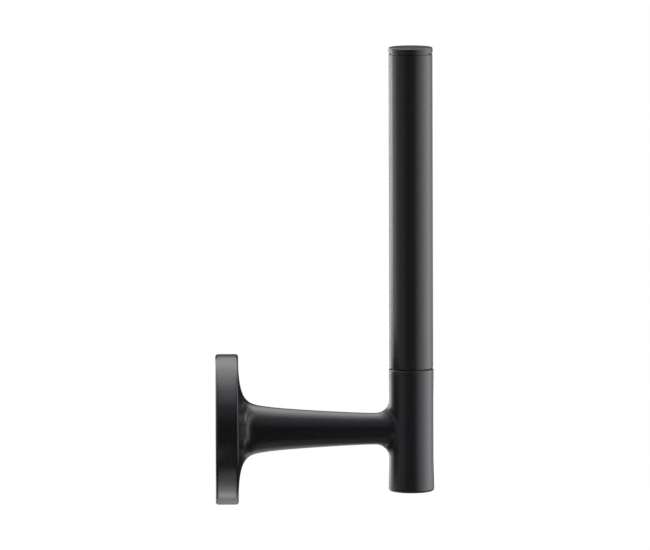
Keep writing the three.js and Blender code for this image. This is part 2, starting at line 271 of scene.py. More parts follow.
def turned_mesh(name, profile, material, steps=TURN_STEPS, thread=(0.0, 1.0)):
    """The mesh of one turned piece about the Z axis. A profile point is (radius, height) or
    (radius, height, thread share, hexagon share)."""
    points = [tuple(p) + (0.0,) * (4 - len(p)) for p in profile]
    mesh = bpy.data.meshes.new(name + "_profile")
    mesh.from_pydata([(p[0], 0.0, p[1]) for p in points], [], [])
    for column, attribute in ((2, "thread"), (3, "hexagon")):
        layer = mesh.attributes.new(attribute, "FLOAT", "POINT")
        layer.data.foreach_set("value", [p[column] for p in points])
    profile_object = bpy.data.objects.new(name + "_profile", mesh)
    bpy.context.scene.collection.objects.link(profile_object)
    modifier = profile_object.modifiers.new("Turned piece", "NODES")
    modifier.node_group = TURNING
    values = {"Steps": steps, "Thread depth": thread[0], "Thread pitch": thread[1], "Finish": material}
    for item in TURNING.interface.items_tree:
        if item.in_out == "INPUT" and item.name in values:
            modifier[item.identifier] = values[item.name]
    return plain_mesh(profile_object, name)


def plain_mesh(source, name):
    """What the object's modifiers make, as a plain mesh with its faces pointing out; the object goes."""
    bpy.context.view_layer.update()
    evaluated = source.evaluated_get(bpy.context.evaluated_depsgraph_get())
    mesh = bpy.data.meshes.new_from_object(evaluated)
    mesh.name = name
    for modifier in list(source.modifiers):
        source.modifiers.remove(modifier)
    bpy.data.objects.remove(source)
    shell = bmesh.new()
    shell.from_mesh(mesh)
    bmesh.ops.recalc_face_normals(shell, faces=shell.faces)
    shell.to_mesh(mesh)
    shell.free()
    return mesh


def upright_at(y):
    """Place of a piece turned about an upright axis."""
    return Matrix.Translation((0, y, 0))


def out_from_wall():
    """Place of a piece turned about the arm's axis, its heights running out from the wall."""
    return Matrix(((1, 0, 0, 0), (0, 0, -1, 0), (0, 1, 0, 0), (0, 0, 0, 1)))


def upright_piece(name, profile, material, node, slot, axis_y=POST_Y, **turning):
    """A finished piece turned about an upright axis, the post's own where no other is given."""
    mesh = turned_mesh(name, profile, material, **turning)
    return finished(name, transformed(mesh, upright_at(axis_y)), material, node)


# Casting


def casting_profile():
    """From the blind end of the cored neck, over the recess and the rim, along neck and arm to the tee."""
    recess = FLANGE_RADIUS - FLANGE_RIM_WALL
    floor = FLANGE_THICKNESS - FLANGE_FACE_WALL
    back = (FLANGE_RADIUS - FLANGE_BACK_EDGE, FLANGE_BACK_EDGE)
    front = (FLANGE_RADIUS - FLANGE_FRONT_EDGE, FLANGE_THICKNESS - FLANGE_FRONT_EDGE)
    face_end = (front[0], FLANGE_THICKNESS)
    neck_end = (NECK_RADIUS, FLANGE_THICKNESS + FLARE_LENGTH)
    arm_end = (ARM_END_RADIUS, ARM_REACH - SLEEVE_WAIST_RADIUS - TEE_FILLET - TEE_RUN_IN)
    drop = (face_end[0] - neck_end[0]) * FLARE_FACE_SHARE
    run = FLARE_LENGTH * FLARE_NECK_SHARE
    handle = (arm_end[1] - neck_end[1]) * ARM_HANDLE_SHARE
    core_end = (CORE_MOUTH_RADIUS, floor + CORE_MOUTH_FLARE)
    mouth = (CORE_MOUTH_RADIUS + CORE_MOUTH_FLARE, floor)
    return [
        (0, CORE_DEPTH),
        *arc((0, CORE_DEPTH - CORE_END_RADIUS), CORE_END_RADIUS, 80, 0, 5),
        *arc((mouth[0], core_end[1]), CORE_MOUTH_FLARE, 180, 270, 8),
        *arc((recess - RECESS_CORNER, floor - RECESS_CORNER), RECESS_CORNER, 90, 0, 6),
        (recess, RECESS_CHAMFER_DEPTH),
        (recess + RECESS_CHAMFER, 0),
        (recess + RECESS_CHAMFER + BACK_RING_STEP, 0),
        *arc(back, FLANGE_BACK_EDGE, -90, 0, 8),
        *arc(front, FLANGE_FRONT_EDGE, 0, 90, 12),
        *bezier(
            (
                face_end,
                (face_end[0] - drop, FLANGE_THICKNESS),
                (neck_end[0] + run * NECK_SLOPE, neck_end[1] - run),
                neck_end,
            ),
            FLARE_STEPS,
        ),
        *bezier(
            (
                neck_end,
                (neck_end[0] - handle * NECK_SLOPE, neck_end[1] + handle),
                (arm_end[0], arm_end[1] - handle),
                arm_end,
            ),
            ARM_STEPS,
        ),
    ]


def fillet_ring(share):
    """Ring of the tee's fillet: where a ball that rolls in the corner between arm and sleeve has its skin,
    from its touch on the arm (share 0) to its touch on the sleeve (share 1)."""
    turn = np.arange(SKIN_STEPS) * 2 * math.pi / SKIN_STEPS
    out_from_arm = ARM_END_RADIUS + TEE_FILLET
    out_from_post = SLEEVE_WAIST_RADIUS + TEE_FILLET
    across = out_from_arm * np.cos(turn)
    to_wall = np.sqrt(out_from_post**2 - across**2)
    centre = np.stack([across, to_wall + POST_Y, out_from_arm * np.sin(turn)], axis=1)
    to_arm = np.stack([-np.cos(turn), 0 * turn, -np.sin(turn)], axis=1)
    to_post = np.stack([-across, -to_wall, 0 * turn], axis=1) / out_from_post
    sweep = np.arccos(np.sum(to_arm * to_post, axis=1))[:, None]
    reach = (np.sin((1 - share) * sweep) * to_arm + np.sin(share * sweep) * to_post) / np.sin(sweep)
    return centre + TEE_FILLET * reach


def sleeve_radius(height):
    """The sleeve widens a little from its waist to either end."""
    waist_edge = ARM_END_RADIUS + TEE_FILLET
    rise = np.clip((height - waist_edge) / (SEAT_Z - SLEEVE_TOP_EDGE - waist_edge), 0, 1)
    drop_length = SLEEVE_DROP - SLEEVE_BOTTOM_EDGE - waist_edge
    drop = np.clip((-height - waist_edge) / drop_length, 0, 1)
    top_gain = (SLEEVE_TOP_RADIUS - SLEEVE_WAIST_RADIUS) * rise
    return SLEEVE_WAIST_RADIUS + top_gain + (SLEEVE_BOTTOM_RADIUS - SLEEVE_WAIST_RADIUS) * drop


def on_sleeve(angle, height):
    """Points on the sleeve's skin; the angle is counted from the side that faces the wall."""
    radius = sleeve_radius(height)
    return np.stack([radius * np.sin(angle), POST_Y + radius * np.cos(angle), height + 0 * angle], axis=-1)


def patch_border():
    """Angles and heights of the rectangle round the fillet's foot, in step with the rings' points."""
    half_rows, quarter = PATCH_ROWS // 2, math.pi / 2
    up = np.linspace(0, PATCH_HALF_HEIGHT, half_rows + 1)[:-1]
    across = np.linspace(quarter, -quarter, PATCH_COLUMNS + 1)[:-1]
    down = np.linspace(PATCH_HALF_HEIGHT, -PATCH_HALF_HEIGHT, PATCH_ROWS + 1)[:-1]
    lift = np.linspace(-PATCH_HALF_HEIGHT, 0, half_rows + 1)[:-1]
    angles = [quarter + 0 * up, across, -quarter + 0 * down, -across, quarter + 0 * lift]
    heights = [up, PATCH_HALF_HEIGHT + 0 * across, down, -PATCH_HALF_HEIGHT + 0 * across, lift]
    return np.concatenate(angles), np.concatenate(heights)


def patch_rings():
    """Rings on the sleeve's skin from the fillet's foot out to the rectangle round it."""
    foot = fillet_ring(1.0)
    foot_angle = np.arctan2(foot[:, 0], foot[:, 1] - POST_Y)
    angle, height = patch_border()
    rings = []
    for share in np.linspace(0, 1, PATCH_RINGS + 1)[1:]:
        ring_angle = foot_angle + share * (angle - foot_angle)
        ring_height = foot[:, 2] + share * (height - foot[:, 2])
        rings.append(on_sleeve(ring_angle, ring_height))
    return rings


class Skin:
    """Points and faces of a skin that is put together from rows of rings."""

    def __init__(self):
        self.points = []
        self.faces = []

    def add_ring(self, ring):
        start = len(self.points)
        self.points.extend(tuple(p) for p in ring)
        return list(range(start, start + len(ring)))

    def band(self, first, second, closed=True):
        count = len(first) if closed else len(first) - 1
        for i in range(count):
            j = (i + 1) % len(first)
            self.faces.append((first[i], first[j], second[j], second[i]))

    def fan(self, ring, middle):
        (tip,) = self.add_ring([middle])
        for i in range(len(ring)):
            self.faces.append((ring[i], ring[(i + 1) % len(ring)], tip))

    def mesh(self, name):
        mesh = bpy.data.meshes.new(name)
        mesh.from_pydata(self.points, [], self.faces)
        shell = bmesh.new()
        shell.from_mesh(mesh)
        bmesh.ops.remove_doubles(shell, verts=shell.verts, dist=SKIN_WELD)
        bmesh.ops.recalc_face_normals(shell, faces=shell.faces)
        shell.to_mesh(mesh)
        shell.free()
        return mesh


def circle_about_arm(radius, distance):
    turn = np.arange(SKIN_STEPS) * 2 * math.pi / SKIN_STEPS
    return np.stack([radius * np.cos(turn), -distance + 0 * turn, radius * np.sin(turn)], axis=1)


def circle_about_post(radius, height):
    steps = 2 * PATCH_COLUMNS
    angle = math.pi / 2 - np.arange(steps) * 2 * math.pi / steps
    points = [radius * np.sin(angle), POST_Y + radius * np.cos(angle), height + 0 * angle]
    return np.stack(points, axis=1)


def sleeve_ends(skin):
    """The sleeve above and below the patch, with the plug's seat and the stud's hole in its top."""
    seat_radius = PLUG_RADIUS + FIT_GAP
    seat_floor = SEAT_Z - SEAT_DEPTH - FIT_GAP
    hole = STUD_RADIUS + FIT_GAP
    shoulder = SEAT_Z - SLEEVE_TOP_EDGE
    top = SLEEVE_TOP_RADIUS - SLEEVE_TOP_EDGE
    upper = [(sleeve_radius(z), z) for z in np.linspace(PATCH_HALF_HEIGHT, shoulder, SLEEVE_END_ROWS)]
    upper += arc((top, shoulder), SLEEVE_TOP_EDGE, 15, 90, 5)
    upper += [
        (seat_radius + SEAT_CHAMFER, SEAT_Z),
        (seat_radius, SEAT_Z - SEAT_CHAMFER),
        (seat_radius, seat_floor),
        (hole, seat_floor),
        (hole, STUD_HOLE_FLOOR_Z),
    ]
    edge = -SLEEVE_DROP + SLEEVE_BOTTOM_EDGE
    lower = [(sleeve_radius(z), z) for z in np.linspace(-PATCH_HALF_HEIGHT, edge, SLEEVE_END_ROWS)]
    lower += arc((SLEEVE_BOTTOM_RADIUS - SLEEVE_BOTTOM_EDGE, edge), SLEEVE_BOTTOM_EDGE, -10, -90, 8)
    lower += [(SLEEVE_BOTTOM_RADIUS * share, -SLEEVE_DROP) for share in (0.6, 0.3)]
    for profile in (upper, lower):
        rings = [skin.add_ring(circle_about_post(radius, height)) for radius, height in profile]
        for first, second in zip(rings, rings[1:]):
            skin.band(first, second)
        skin.fan(rings[-1], (0, POST_Y, profile[-1][1]))


def sleeve_far_half(skin):
    """The half of the sleeve that faces the room, between the ends."""
    rows = []
    angle = np.linspace(math.pi / 2, 3 * math.pi / 2, PATCH_COLUMNS + 1)
    for height in np.linspace(PATCH_HALF_HEIGHT, -PATCH_HALF_HEIGHT, PATCH_ROWS + 1):
        rows.append(skin.add_ring(on_sleeve(angle, height)))
    for first, second in zip(rows, rows[1:]):
        skin.band(first, second, closed=False)


def grub_hole_cutter():
    """A bar with the hole's countersunk mouth, standing through the lowest point of the rim."""
    clearance, sink, over = 0.12 * MM, 0.3 * MM, 1 * MM
    radius = GRUB_RADIUS + clearance
    mouth = -FLANGE_RADIUS
    inner_end = mouth + FLANGE_RIM_WALL + over
    profile = [
        (0, mouth - over),
        (radius + sink + over, mouth - over),
        (radius, mouth + sink),
        (radius, inner_end),
        (0, inner_end),
    ]
    mesh = turned_mesh("grub_hole", profile, None, steps=48)
    cutter = bpy.data.objects.new("grub_hole", transformed(mesh, upright_at(GRUB_Y)))
    bpy.context.scene.collection.objects.link(cutter)
    return cutter


def cut_out(mesh, name, *cutters):
    """The mesh with the cutters taken out of it."""
    work = bpy.data.objects.new(name + "_blank", mesh)
    bpy.context.scene.collection.objects.link(work)
    for cutter in cutters:
        modifier = work.modifiers.new(cutter.name, "BOOLEAN")
        modifier.operation = "DIFFERENCE"
        modifier.solver = "EXACT"
        modifier.object = cutter
    result = plain_mesh(work, name)
    for cutter in cutters:
        bpy.data.objects.remove(cutter)
    return result


def holder_body(coat):
    skin = Skin()
    profile = casting_profile()
    rings = [skin.add_ring(circle_about_arm(radius, distance)) for radius, distance in profile[1:]]
    rings += [skin.add_ring(fillet_ring(share)) for share in np.linspace(0, 1, FILLET_STEPS + 1)]
    rings += [skin.add_ring(ring) for ring in patch_rings()]
    for first, second in zip(rings, rings[1:]):
        skin.band(first, second)
    skin.fan(rings[0], (0, -profile[0][1], 0))
    sleeve_ends(skin)
    sleeve_far_half(skin)
    mesh = cut_out(skin.mesh("holder_body_blank"), "holder_body_coated", grub_hole_cutter())
    return finished("holder_body_coated", mesh, coat, "holder_body")


# Post


def post_tube(coat):
    wall, edge, rows = 1.5 * MM, 0.25 * MM, 24
    bore = TUBE_RADIUS - wall
    low, high = TUBE_BOTTOM_Z, TUBE_TOP_Z
    profile = [
        *arc((TUBE_RADIUS - edge, low + edge), edge, -90, 0, 5),
        *[(TUBE_RADIUS, low + (high - low) * i / rows) for i in range(1, rows)],
        *arc((TUBE_RADIUS - edge, high - edge), edge, 0, 90, 5),
        (bore + edge, high),
        (bore, high - edge),
        (bore, low + edge),
        (bore + edge, low),
        (TUBE_RADIUS - edge, low),
    ]
    return upright_piece("post_tube_coated", profile, coat, "post_tube", "black_tube")


def end_cap(coat):
    lip, lip_edge, under_edge = 2.4 * MM, 0.6 * MM, 0.2 * MM
    shadow_groove_depth, spigot_chamfer = 0.8 * MM, 0.6 * MM
    groove_side_gap, groove_floor_gap = 0.15 * MM, 0.1 * MM
    neck = TUBE_RADIUS - shadow_groove_depth
    lip_bottom = CAP_TOP_Z - lip
    ring_thickness = o_ring_high.z - o_ring_low.z
    ring_middle = (o_ring_low.z + o_ring_high.z) / 2
    groove_half = ring_thickness / 2 + groove_side_gap
    groove_floor = o_ring_high.x - ring_thickness - groove_floor_gap
    profile = [
        (0, cap_low.z),
        (PLUG_RADIUS - spigot_chamfer, cap_low.z),
        (PLUG_RADIUS, cap_low.z + spigot_chamfer),
        (PLUG_RADIUS, ring_middle - groove_half),
        (groove_floor, ring_middle - groove_half),
        (groove_floor, ring_middle + groove_half),
        (PLUG_RADIUS, ring_middle + groove_half),
        (PLUG_RADIUS, TUBE_TOP_Z),
        (neck, TUBE_TOP_Z),
        (neck, lip_bottom),
        *arc((CAP_RADIUS - under_edge, lip_bottom + under_edge), under_edge, -90, 0, 4),
        *arc((CAP_RADIUS - lip_edge, CAP_TOP_Z - lip_edge), lip_edge, 0, 90, 10),
        *[((CAP_RADIUS - lip_edge) * share, CAP_TOP_Z) for share in (0.75, 0.5, 0.25)],
        (0, CAP_TOP_Z),
    ]
    return upright_piece("end_cap_coated", profile, coat, "end_cap", "black_cap")


def seam_ring(nylon):
    inner, outer = PLUG_RADIUS + FIT_GAP, ring_high.x
    low, high = ring_low.z, ring_high.z
    edge = 0.1 * MM
    profile = [
        (inner, low),
        *arc((outer - edge, low + edge), edge, -90, 0, 3),
        *arc((outer - edge, high - edge), edge, 0, 90, 3),
        (inner, high),
        (inner, low),
    ]
    return upright_piece("seam_ring_nylon", profile, nylon, "seam_ring", "black_nylon")


def joint_plug(brass):
    chamfer, mouth, relief = 0.8 * MM, 0.5 * MM, 0.15 * MM
    hole = STUD_RADIUS + FIT_GAP
    low, high = plug_low.z, plug_high.z
    relief_low, relief_high = low + 6 * MM, high - 3 * MM
    profile = [
        (hole + mouth, low),
        (PLUG_RADIUS - chamfer, low),
        (PLUG_RADIUS, low + chamfer),
        (PLUG_RADIUS, relief_low),
        (PLUG_RADIUS - relief, relief_low + relief),
        (PLUG_RADIUS - relief, relief_high - relief),
        (PLUG_RADIUS, relief_high),
        (PLUG_RADIUS, high - chamfer),
        (PLUG_RADIUS - chamfer, high),
        (hole + mouth, high),
        (hole, high - mouth),
        (hole, low + mouth),
        (hole + mouth, low),
    ]
    return upright_piece("joint_plug_brass", profile, brass, "joint_plug", "plug_brass")


def threaded_rows(radius, start, end, pitch):
    """Rows of a threaded stretch, close enough to shape the thread, which fades in and out at its ends."""
    run_out = pitch / 2
    count = int((end - start) / (pitch / ROWS_PER_THREAD))
    rows = []
    for height in np.linspace(start, end, count + 1):
        depth = min(1.0, (height - start) / run_out, (end - height) / run_out)
        rows.append((radius, height, depth, 0.0))
    return rows


def hex_socket(radius, mouth, depth, across_flats, sign):
    """Rows of a six-sided socket sunk from the end face at the mouth's height. Its floor is the round cone
    that the drill leaves, and the sign is that of its way in along Z."""
    corner = across_flats / math.sqrt(3)
    chamfer, cone_depth, tip_depth = 0.15 * MM, 0.35 * MM, 0.45 * MM
    tip_share, mouth_hexagon = 0.35, 0.4
    floor = mouth + sign * depth
    return [
        (radius, mouth),
        (corner + chamfer, mouth, 0.0, mouth_hexagon),
        (corner, mouth + sign * chamfer, 0.0, 1.0),
        (corner, floor, 0.0, 1.0),
        (corner * tip_share, floor + sign * cone_depth, 0.0, 0.0),
        (0, floor + sign * tip_depth),
    ]


def joint_stud(steel):
    low, high = stud_low.z, stud_high.z
    chamfer, pitch, thread_depth = 0.8 * MM, 1.25 * MM, 0.68 * MM
    socket_depth, socket_width = 4 * MM, 4 * MM
    turning = {"steps": 72, "thread": (thread_depth, pitch)}
    profile = [
        (0, low),
        (STUD_RADIUS - chamfer, low),
        *threaded_rows(STUD_RADIUS, low + chamfer, high - chamfer, pitch),
        *hex_socket(STUD_RADIUS - chamfer, high, socket_depth, socket_width, -1),
    ]
    return upright_piece("joint_stud_steel", profile, steel, "joint_stud", "bare_steel", **turning)


def cap_o_ring(rubber):
    section = (o_ring_high.z - o_ring_low.z) / 2
    middle = (o_ring_high.x - section, (o_ring_low.z + o_ring_high.z) / 2)
    profile = arc(middle, section, 0, 360, 20)
    return upright_piece("cap_o_ring_rubber", profile, rubber, "cap_o_ring", "black_rubber", steps=120)


# Wall fixing


def slot_cutter(side):
    """A slot with round ends and broken edges, standing through the bracket's web."""
    width, length, middle = 5.2 * MM, 9 * MM, side * SLOT_SPACING / 2
    edge, over, steps = 0.3 * MM, 1 * MM, 64
    half = (length - width) / 2
    back_rows = ((-over, edge + over), (0, edge), (edge, 0))
    front_rows = [(BRACKET_WEB - distance, grow) for distance, grow in reversed(back_rows)]
    skin = Skin()
    rings = []
    for distance, grow in (*back_rows, *front_rows):
        radius = width / 2 + grow
        ring = []
        for i in range(steps):
            angle = 2 * math.pi * i / steps
            lift = half if i < steps // 2 else -half
            ring.append((middle + radius * math.cos(angle), -distance, lift + radius * math.sin(angle)))
        rings.append(skin.add_ring(ring))
    for first, second in zip(rings, rings[1:]):
        skin.band(first, second)
    skin.fan(rings[0], (middle, over, 0))
    skin.fan(rings[-1], (middle, -BRACKET_WEB - over, 0))
    cutter = bpy.data.objects.new("slot", skin.mesh("slot"))
    bpy.context.scene.collection.objects.link(cutter)
    return cutter


def wall_bracket(steel):
    rim_width, bevel, edge, softening = 6.2 * MM, 4.5 * MM, 0.5 * MM, 0.1 * MM
    inside = BRACKET_RADIUS - rim_width
    profile = [
        (0, 0),
        (BRACKET_RADIUS - bevel - 2 * softening, 0),
        (BRACKET_RADIUS - bevel + softening, 2 * softening),
        (BRACKET_RADIUS - softening, bevel - softening),
        (BRACKET_RADIUS, bevel + softening),
        *arc((BRACKET_RADIUS - edge, BRACKET_HEIGHT - edge), edge, 0, 90, 4),
        *arc((inside + edge, BRACKET_HEIGHT - edge), edge, 90, 180, 4),
        *arc((inside - edge, BRACKET_WEB + edge), edge, 0, -90, 4),
        (0, BRACKET_WEB),
    ]
    blank = transformed(turned_mesh("wall_bracket_blank", profile, steel), out_from_wall())
    mesh = cut_out(blank, "wall_bracket_turned", slot_cutter(-1), slot_cutter(1))
    return finished("wall_bracket_turned", mesh, steel, "wall_bracket")


def grub_screw(steel):
    low, high = grub_low.z, grub_high.z
    tip, chamfer, pitch, thread_depth = 0.2 * MM, 0.25 * MM, 0.7 * MM, 0.4 * MM
    socket_depth, socket_width = 1.6 * MM, 2 * MM
    turning = {"steps": 60, "thread": (thread_depth, pitch)}
    cone = GRUB_RADIUS - tip
    socket = hex_socket(GRUB_RADIUS - chamfer, low, socket_depth, socket_width, 1)
    profile = [
        *reversed(socket),
        *threaded_rows(GRUB_RADIUS, low + chamfer, high - cone, pitch),
        (tip, high),
        (0, high),
    ]
    return upright_piece("grub_screw_steel", profile, steel, "grub_screw", "dark_steel", GRUB_Y, **turning)


# Finishes: a noise's scale is in cells per metre


COAT_IOR = 1.65
CLOTH_DARK = (0.004, 0.004, 0.004)
CLOTH_LIGHT = (0.01, 0.01, 0.01)


def new_finish(name):
    material = bpy.data.materials.new(name)
    material.use_nodes = True
    tree = material.node_tree
    shader = tree.nodes["Principled BSDF"]
    place = add_node(tree, "ShaderNodeTexCoord").outputs["Object"]
    return material, tree, shader, place


def noise(tree, place, scale, detail=3.0, roughness=0.5):
    inputs = {"Vector": place, "Scale": scale, "Detail": detail, "Roughness": roughness}
    return add_node(tree, "ShaderNodeTexNoise", None, inputs).outputs["Fac"]


def spread(tree, value, low, high):
    """The value's middle range stretched to run from low to high."""
    inputs = {"Value": value, "From Min": 0.3, "From Max": 0.7, "To Min": low, "To Max": high}
    return add_node(tree, "ShaderNodeMapRange", None, inputs).outputs["Result"]


def two_tone(tree, value, first, second):
    node = add_node(tree, "ShaderNodeMix", {"data_type": "RGBA"})
    tree.links.new(value, node.inputs["Factor"])
    node.inputs[6].default_value = (*first, 1.0)
    node.inputs[7].default_value = (*second, 1.0)
    return node.outputs[2]


def bump(tree, height, strength, distance, under=None):
    inputs = {"Height": height, "Strength": strength, "Distance": distance}
    if under is not None:
        inputs["Normal"] = under
    return add_node(tree, "ShaderNodeBump", None, inputs).outputs["Normal"]


def drift(tree, shader, tone, dark, light, cloud, rough, swing):
    """Lets the colour drift from dark to light with the tone, and the roughness with the cloud."""
    tree.links.new(two_tone(tree, spread(tree, tone, 0.0, 1.0), dark, light), shader.inputs["Base Color"])
    tree.links.new(spread(tree, cloud, rough - swing, rough + swing), shader.inputs["Roughness"])


def powder_coat(name, dark, light, rough, sheen=(1.0, 1.0, 1.0)):
    """Matt black powder coat: a fine orange peel, a soft cloudiness in its sheen and a hint of tone."""
    material, tree, shader, place = new_finish(name)
    grain = noise(tree, place, scale=3600.0, detail=2.0, roughness=0.6)
    peel = noise(tree, place, scale=900.0, detail=2.0)
    cloud = noise(tree, place, scale=55.0)
    tone = noise(tree, place, scale=240.0, detail=4.0, roughness=0.6)
    drift(tree, shader, tone, dark, light, cloud, rough, swing=0.02)
    wavy = bump(tree, peel, strength=0.02, distance=0.06 * MM)
    grainy = bump(tree, grain, strength=0.10, distance=0.02 * MM, under=wavy)
    tree.links.new(grainy, shader.inputs["Normal"])
    shader.inputs["Metallic"].default_value = 0.0
    shader.inputs["IOR"].default_value = COAT_IOR
    shader.inputs["Specular Tint"].default_value = (*sheen, 1.0)
    return material


def turned_metal(name, dark, light, rough, along, axis_y=0.0, pitch=0.16 * MM):
    """Turned metal: fine tool rings about its axis, with a little drift in tone and sheen. The axis runs
    along Y through the origin, or along Z at axis_y."""
    material, tree, shader, place = new_finish(name)
    x, y, z = add_node(tree, "ShaderNodeSeparateXYZ", None, {0: place}).outputs
    height, depth = (y, z) if along == "Y" else (z, math_node(tree, "SUBTRACT", y, axis_y))
    squares = [math_node(tree, "MULTIPLY", part, part) for part in (x, depth)]
    radius = math_node(tree, "SQRT", math_node(tree, "ADD", *squares))
    travel = math_node(tree, "ADD", radius, height)
    wander = math_node(tree, "MULTIPLY", noise(tree, place, scale=160.0), 0.3 * MM)
    turns = math_node(tree, "MULTIPLY", math_node(tree, "ADD", travel, wander), 2 * math.pi / pitch)
    rings = math_node(tree, "SINE", turns)
    cloud = noise(tree, place, scale=120.0)
    drift(tree, shader, cloud, dark, light, cloud, rough, swing=0.05)
    tree.links.new(bump(tree, rings, strength=0.25, distance=0.02 * MM), shader.inputs["Normal"])
    shader.inputs["Metallic"].default_value = 1.0
    return material


def moulded(name, dark, light, rough):
    """Black nylon or rubber: an even dull skin with a very fine grain."""
    material, tree, shader, place = new_finish(name)
    cloud = noise(tree, place, scale=200.0)
    drift(tree, shader, cloud, dark, light, cloud, rough, swing=0.04)
    grain = noise(tree, place, scale=2500.0)
    tree.links.new(bump(tree, grain, strength=0.2, distance=0.02 * MM), shader.inputs["Normal"])
    return material


def mix_surface(tree, share, first, second):
    """Gives a material a mix of two shaders as its surface, all first at a share of 0, all second at 1."""
    mix = add_node(tree, "ShaderNodeMixShader", None, {0: share, 1: first, 2: second})
    tree.links.new(mix.outputs[0], tree.nodes["Material Output"].inputs["Surface"])


def smooth_step(tree, value, start, end):
    """0 up to the start, 1 past the end and a smooth rise between; the end may be below the start."""
    settings = {"interpolation_type": "SMOOTHSTEP"}
    inputs = {"Value": value, "From Min": start, "From Max": end, "To Min": 0.0, "To Max": 1.0}
    return add_node(tree, "ShaderNodeMapRange", settings, inputs).outputs["Result"]


def black_cloth(name):
    """Dull black cloth without any sheen, and the clear shader that its surface is mixed with."""
    material, tree, shader, place = new_finish(name)
    cloth_tone = two_tone(tree, noise(tree, place, scale=300.0), CLOTH_DARK, CLOTH_LIGHT)
    tree.links.new(cloth_tone, shader.inputs["Base Color"])
    shader.inputs["Roughness"].default_value = 1.0
    shader.inputs["Specular IOR Level"].default_value = 0.0
    clear = add_node(tree, "ShaderNodeBsdfTransparent").outputs[0]
    return material, tree, shader.outputs[0], place, clear


# Studio


# The point that lamps and cards face. Distances from it are in metres. Directions, and widths and heights
# as seen from it, are in degrees.
LIT_MIDDLE = Vector((0, -0.05, 0.07))

# Azimuth and elevation of the black tent's middle, and how far from it the cloth starts and ends to fade
TENT_MIDDLE = (5.0, -15.0)
TENT_FADE = (50.0, 126.0)

# Groups of soft boxes: name, distance, width, height, then the azimuth, elevation and radiance of each.
# The radiances weren't chosen by hand: they are the output of a least-squares fit to tones of the photo,
# made by a separate program, and only two of post_panel's differ from it. The directions of post_panel and
# close_panel were worked out in that fit as well, from circles of 60 and 40 mm round the post.
SOFT_BOXES = (
    ("level_strip", 1.8, 15, 46, (
        (-150, -2, 2.28), (-94, -2, 0.48), (-66, -2, 0.14),
        (-52, -2, 0.19), (-38, -2, 0.16), (112, -2, 1.65),
    )),
    ("raised_strip", 0.5, 14, 27, ((-146, 4, 0.15), (-134, 4, 0.92), (-122, 4, 3.29))),
    ("post_panel", 0.087, 10, 112, ((49.8, 0, 0.36), (56.5, 0, 0.24), (63.1, 0, 0.92), (69.6, 0, 0.42))),
    ("close_panel", 0.0737, 10, 118, ((77.1, 0, 1.55), (86.8, 0, 1.85))),
    ("rear_step", 1.8, 60, 12, ((180, 40, 0.79), (180, 52, 1.61), (180, 64, 1.69), (180, 76, 1.19))),
    ("rear_line", 1.4, 60, 8, ((180, 30, 0.48),)),
    ("top_box", 1.8, 60, 16, ((180, 89.9, 0.72),)),
    ("front_step", 1.8, 60, 15, ((0, 48, 0.18), (0, 32, 0.18))),
    ("rear_low_box", 0.42, 60, 15, ((180, -52, 0.75),)),
    ("cap_box", 1.4, 12, 8, ((180, 18, 0.18), (180, 26, 0.33))),
)

# Strip lamps above and below the flange's rim and the arm: name, place and length in metres, radiance. All
# radiances but the last are from the same fit.
STRIPS = (
    ("top_strip_middle", (-0.01, -0.004, 0.12), 0.036, 0.68),
    ("top_strip_near", (-0.045, -0.004, 0.12), 0.036, 1.13),
    ("top_strip_front", (-0.09, -0.004, 0.12), 0.05, 0.87),
    ("under_strip_far", (0.06, -0.004, -0.12), 0.036, 0.41),
    ("under_strip_middle", (0.025, -0.004, -0.12), 0.036, 2.48),
    ("under_strip_near", (-0.01, -0.004, -0.12), 0.036, 0.80),
    ("under_strip_arm", (0.045, -0.045, -0.12), 0.05, 0.6),
)
STRIP_WIDTH = 30 * MM
STRIP_LEAN = 0.35

# Black cards round the holder: name, azimuth, elevation, distance, width, height, and the share of the
# white behind it that the card covers
BLACK_CARDS = (
    ("low_card", 45, -48, 0.44, 84, 44, 1.0),
    ("rear_low_card", 175, -60, 0.43, 84, 36, 0.85),
    ("rear_card", 176.5, -1.5, 1.5, 57, 59, 1.0),
    ("left_low_card", -72, -50, 0.44, 62, 44, 1.0),
    ("low_right_card", 112, -50, 0.44, 50, 44, 1.0),
)


def studio_floor():
    """Pale floor below the holder that fades out into the white round it, and is clear from below."""
    height, reach, fade_start, fade_end, steps = -0.42, 2.2, 0.5, 1.5, 96
    turns = [2 * math.pi * i / steps for i in range(steps)]
    ring = [(reach * math.cos(turn), reach * math.sin(turn), height) for turn in turns]
    mesh = bpy.data.meshes.new("studio_floor")
    mesh.from_pydata(ring, [], [tuple(range(steps))])
    material, tree, shader, place = new_finish("pale_floor")
    shader.inputs["Base Color"].default_value = (0.86, 0.86, 0.86, 1.0)
    shader.inputs["Roughness"].default_value = 0.9
    length = add_node(tree, "ShaderNodeVectorMath", {"operation": "LENGTH"}, {0: place}).outputs["Value"]
    from_below = add_node(tree, "ShaderNodeNewGeometry").outputs["Backfacing"]
    unseen = math_node(tree, "MAXIMUM", smooth_step(tree, length, fade_start, fade_end), from_below)
    clear = add_node(tree, "ShaderNodeBsdfTransparent").outputs[0]
    mix_surface(tree, unseen, shader.outputs[0], clear)
    floor = bpy.data.objects.new("studio_floor", mesh)
    mesh.materials.append(material)
    bpy.context.scene.collection.objects.link(floor)


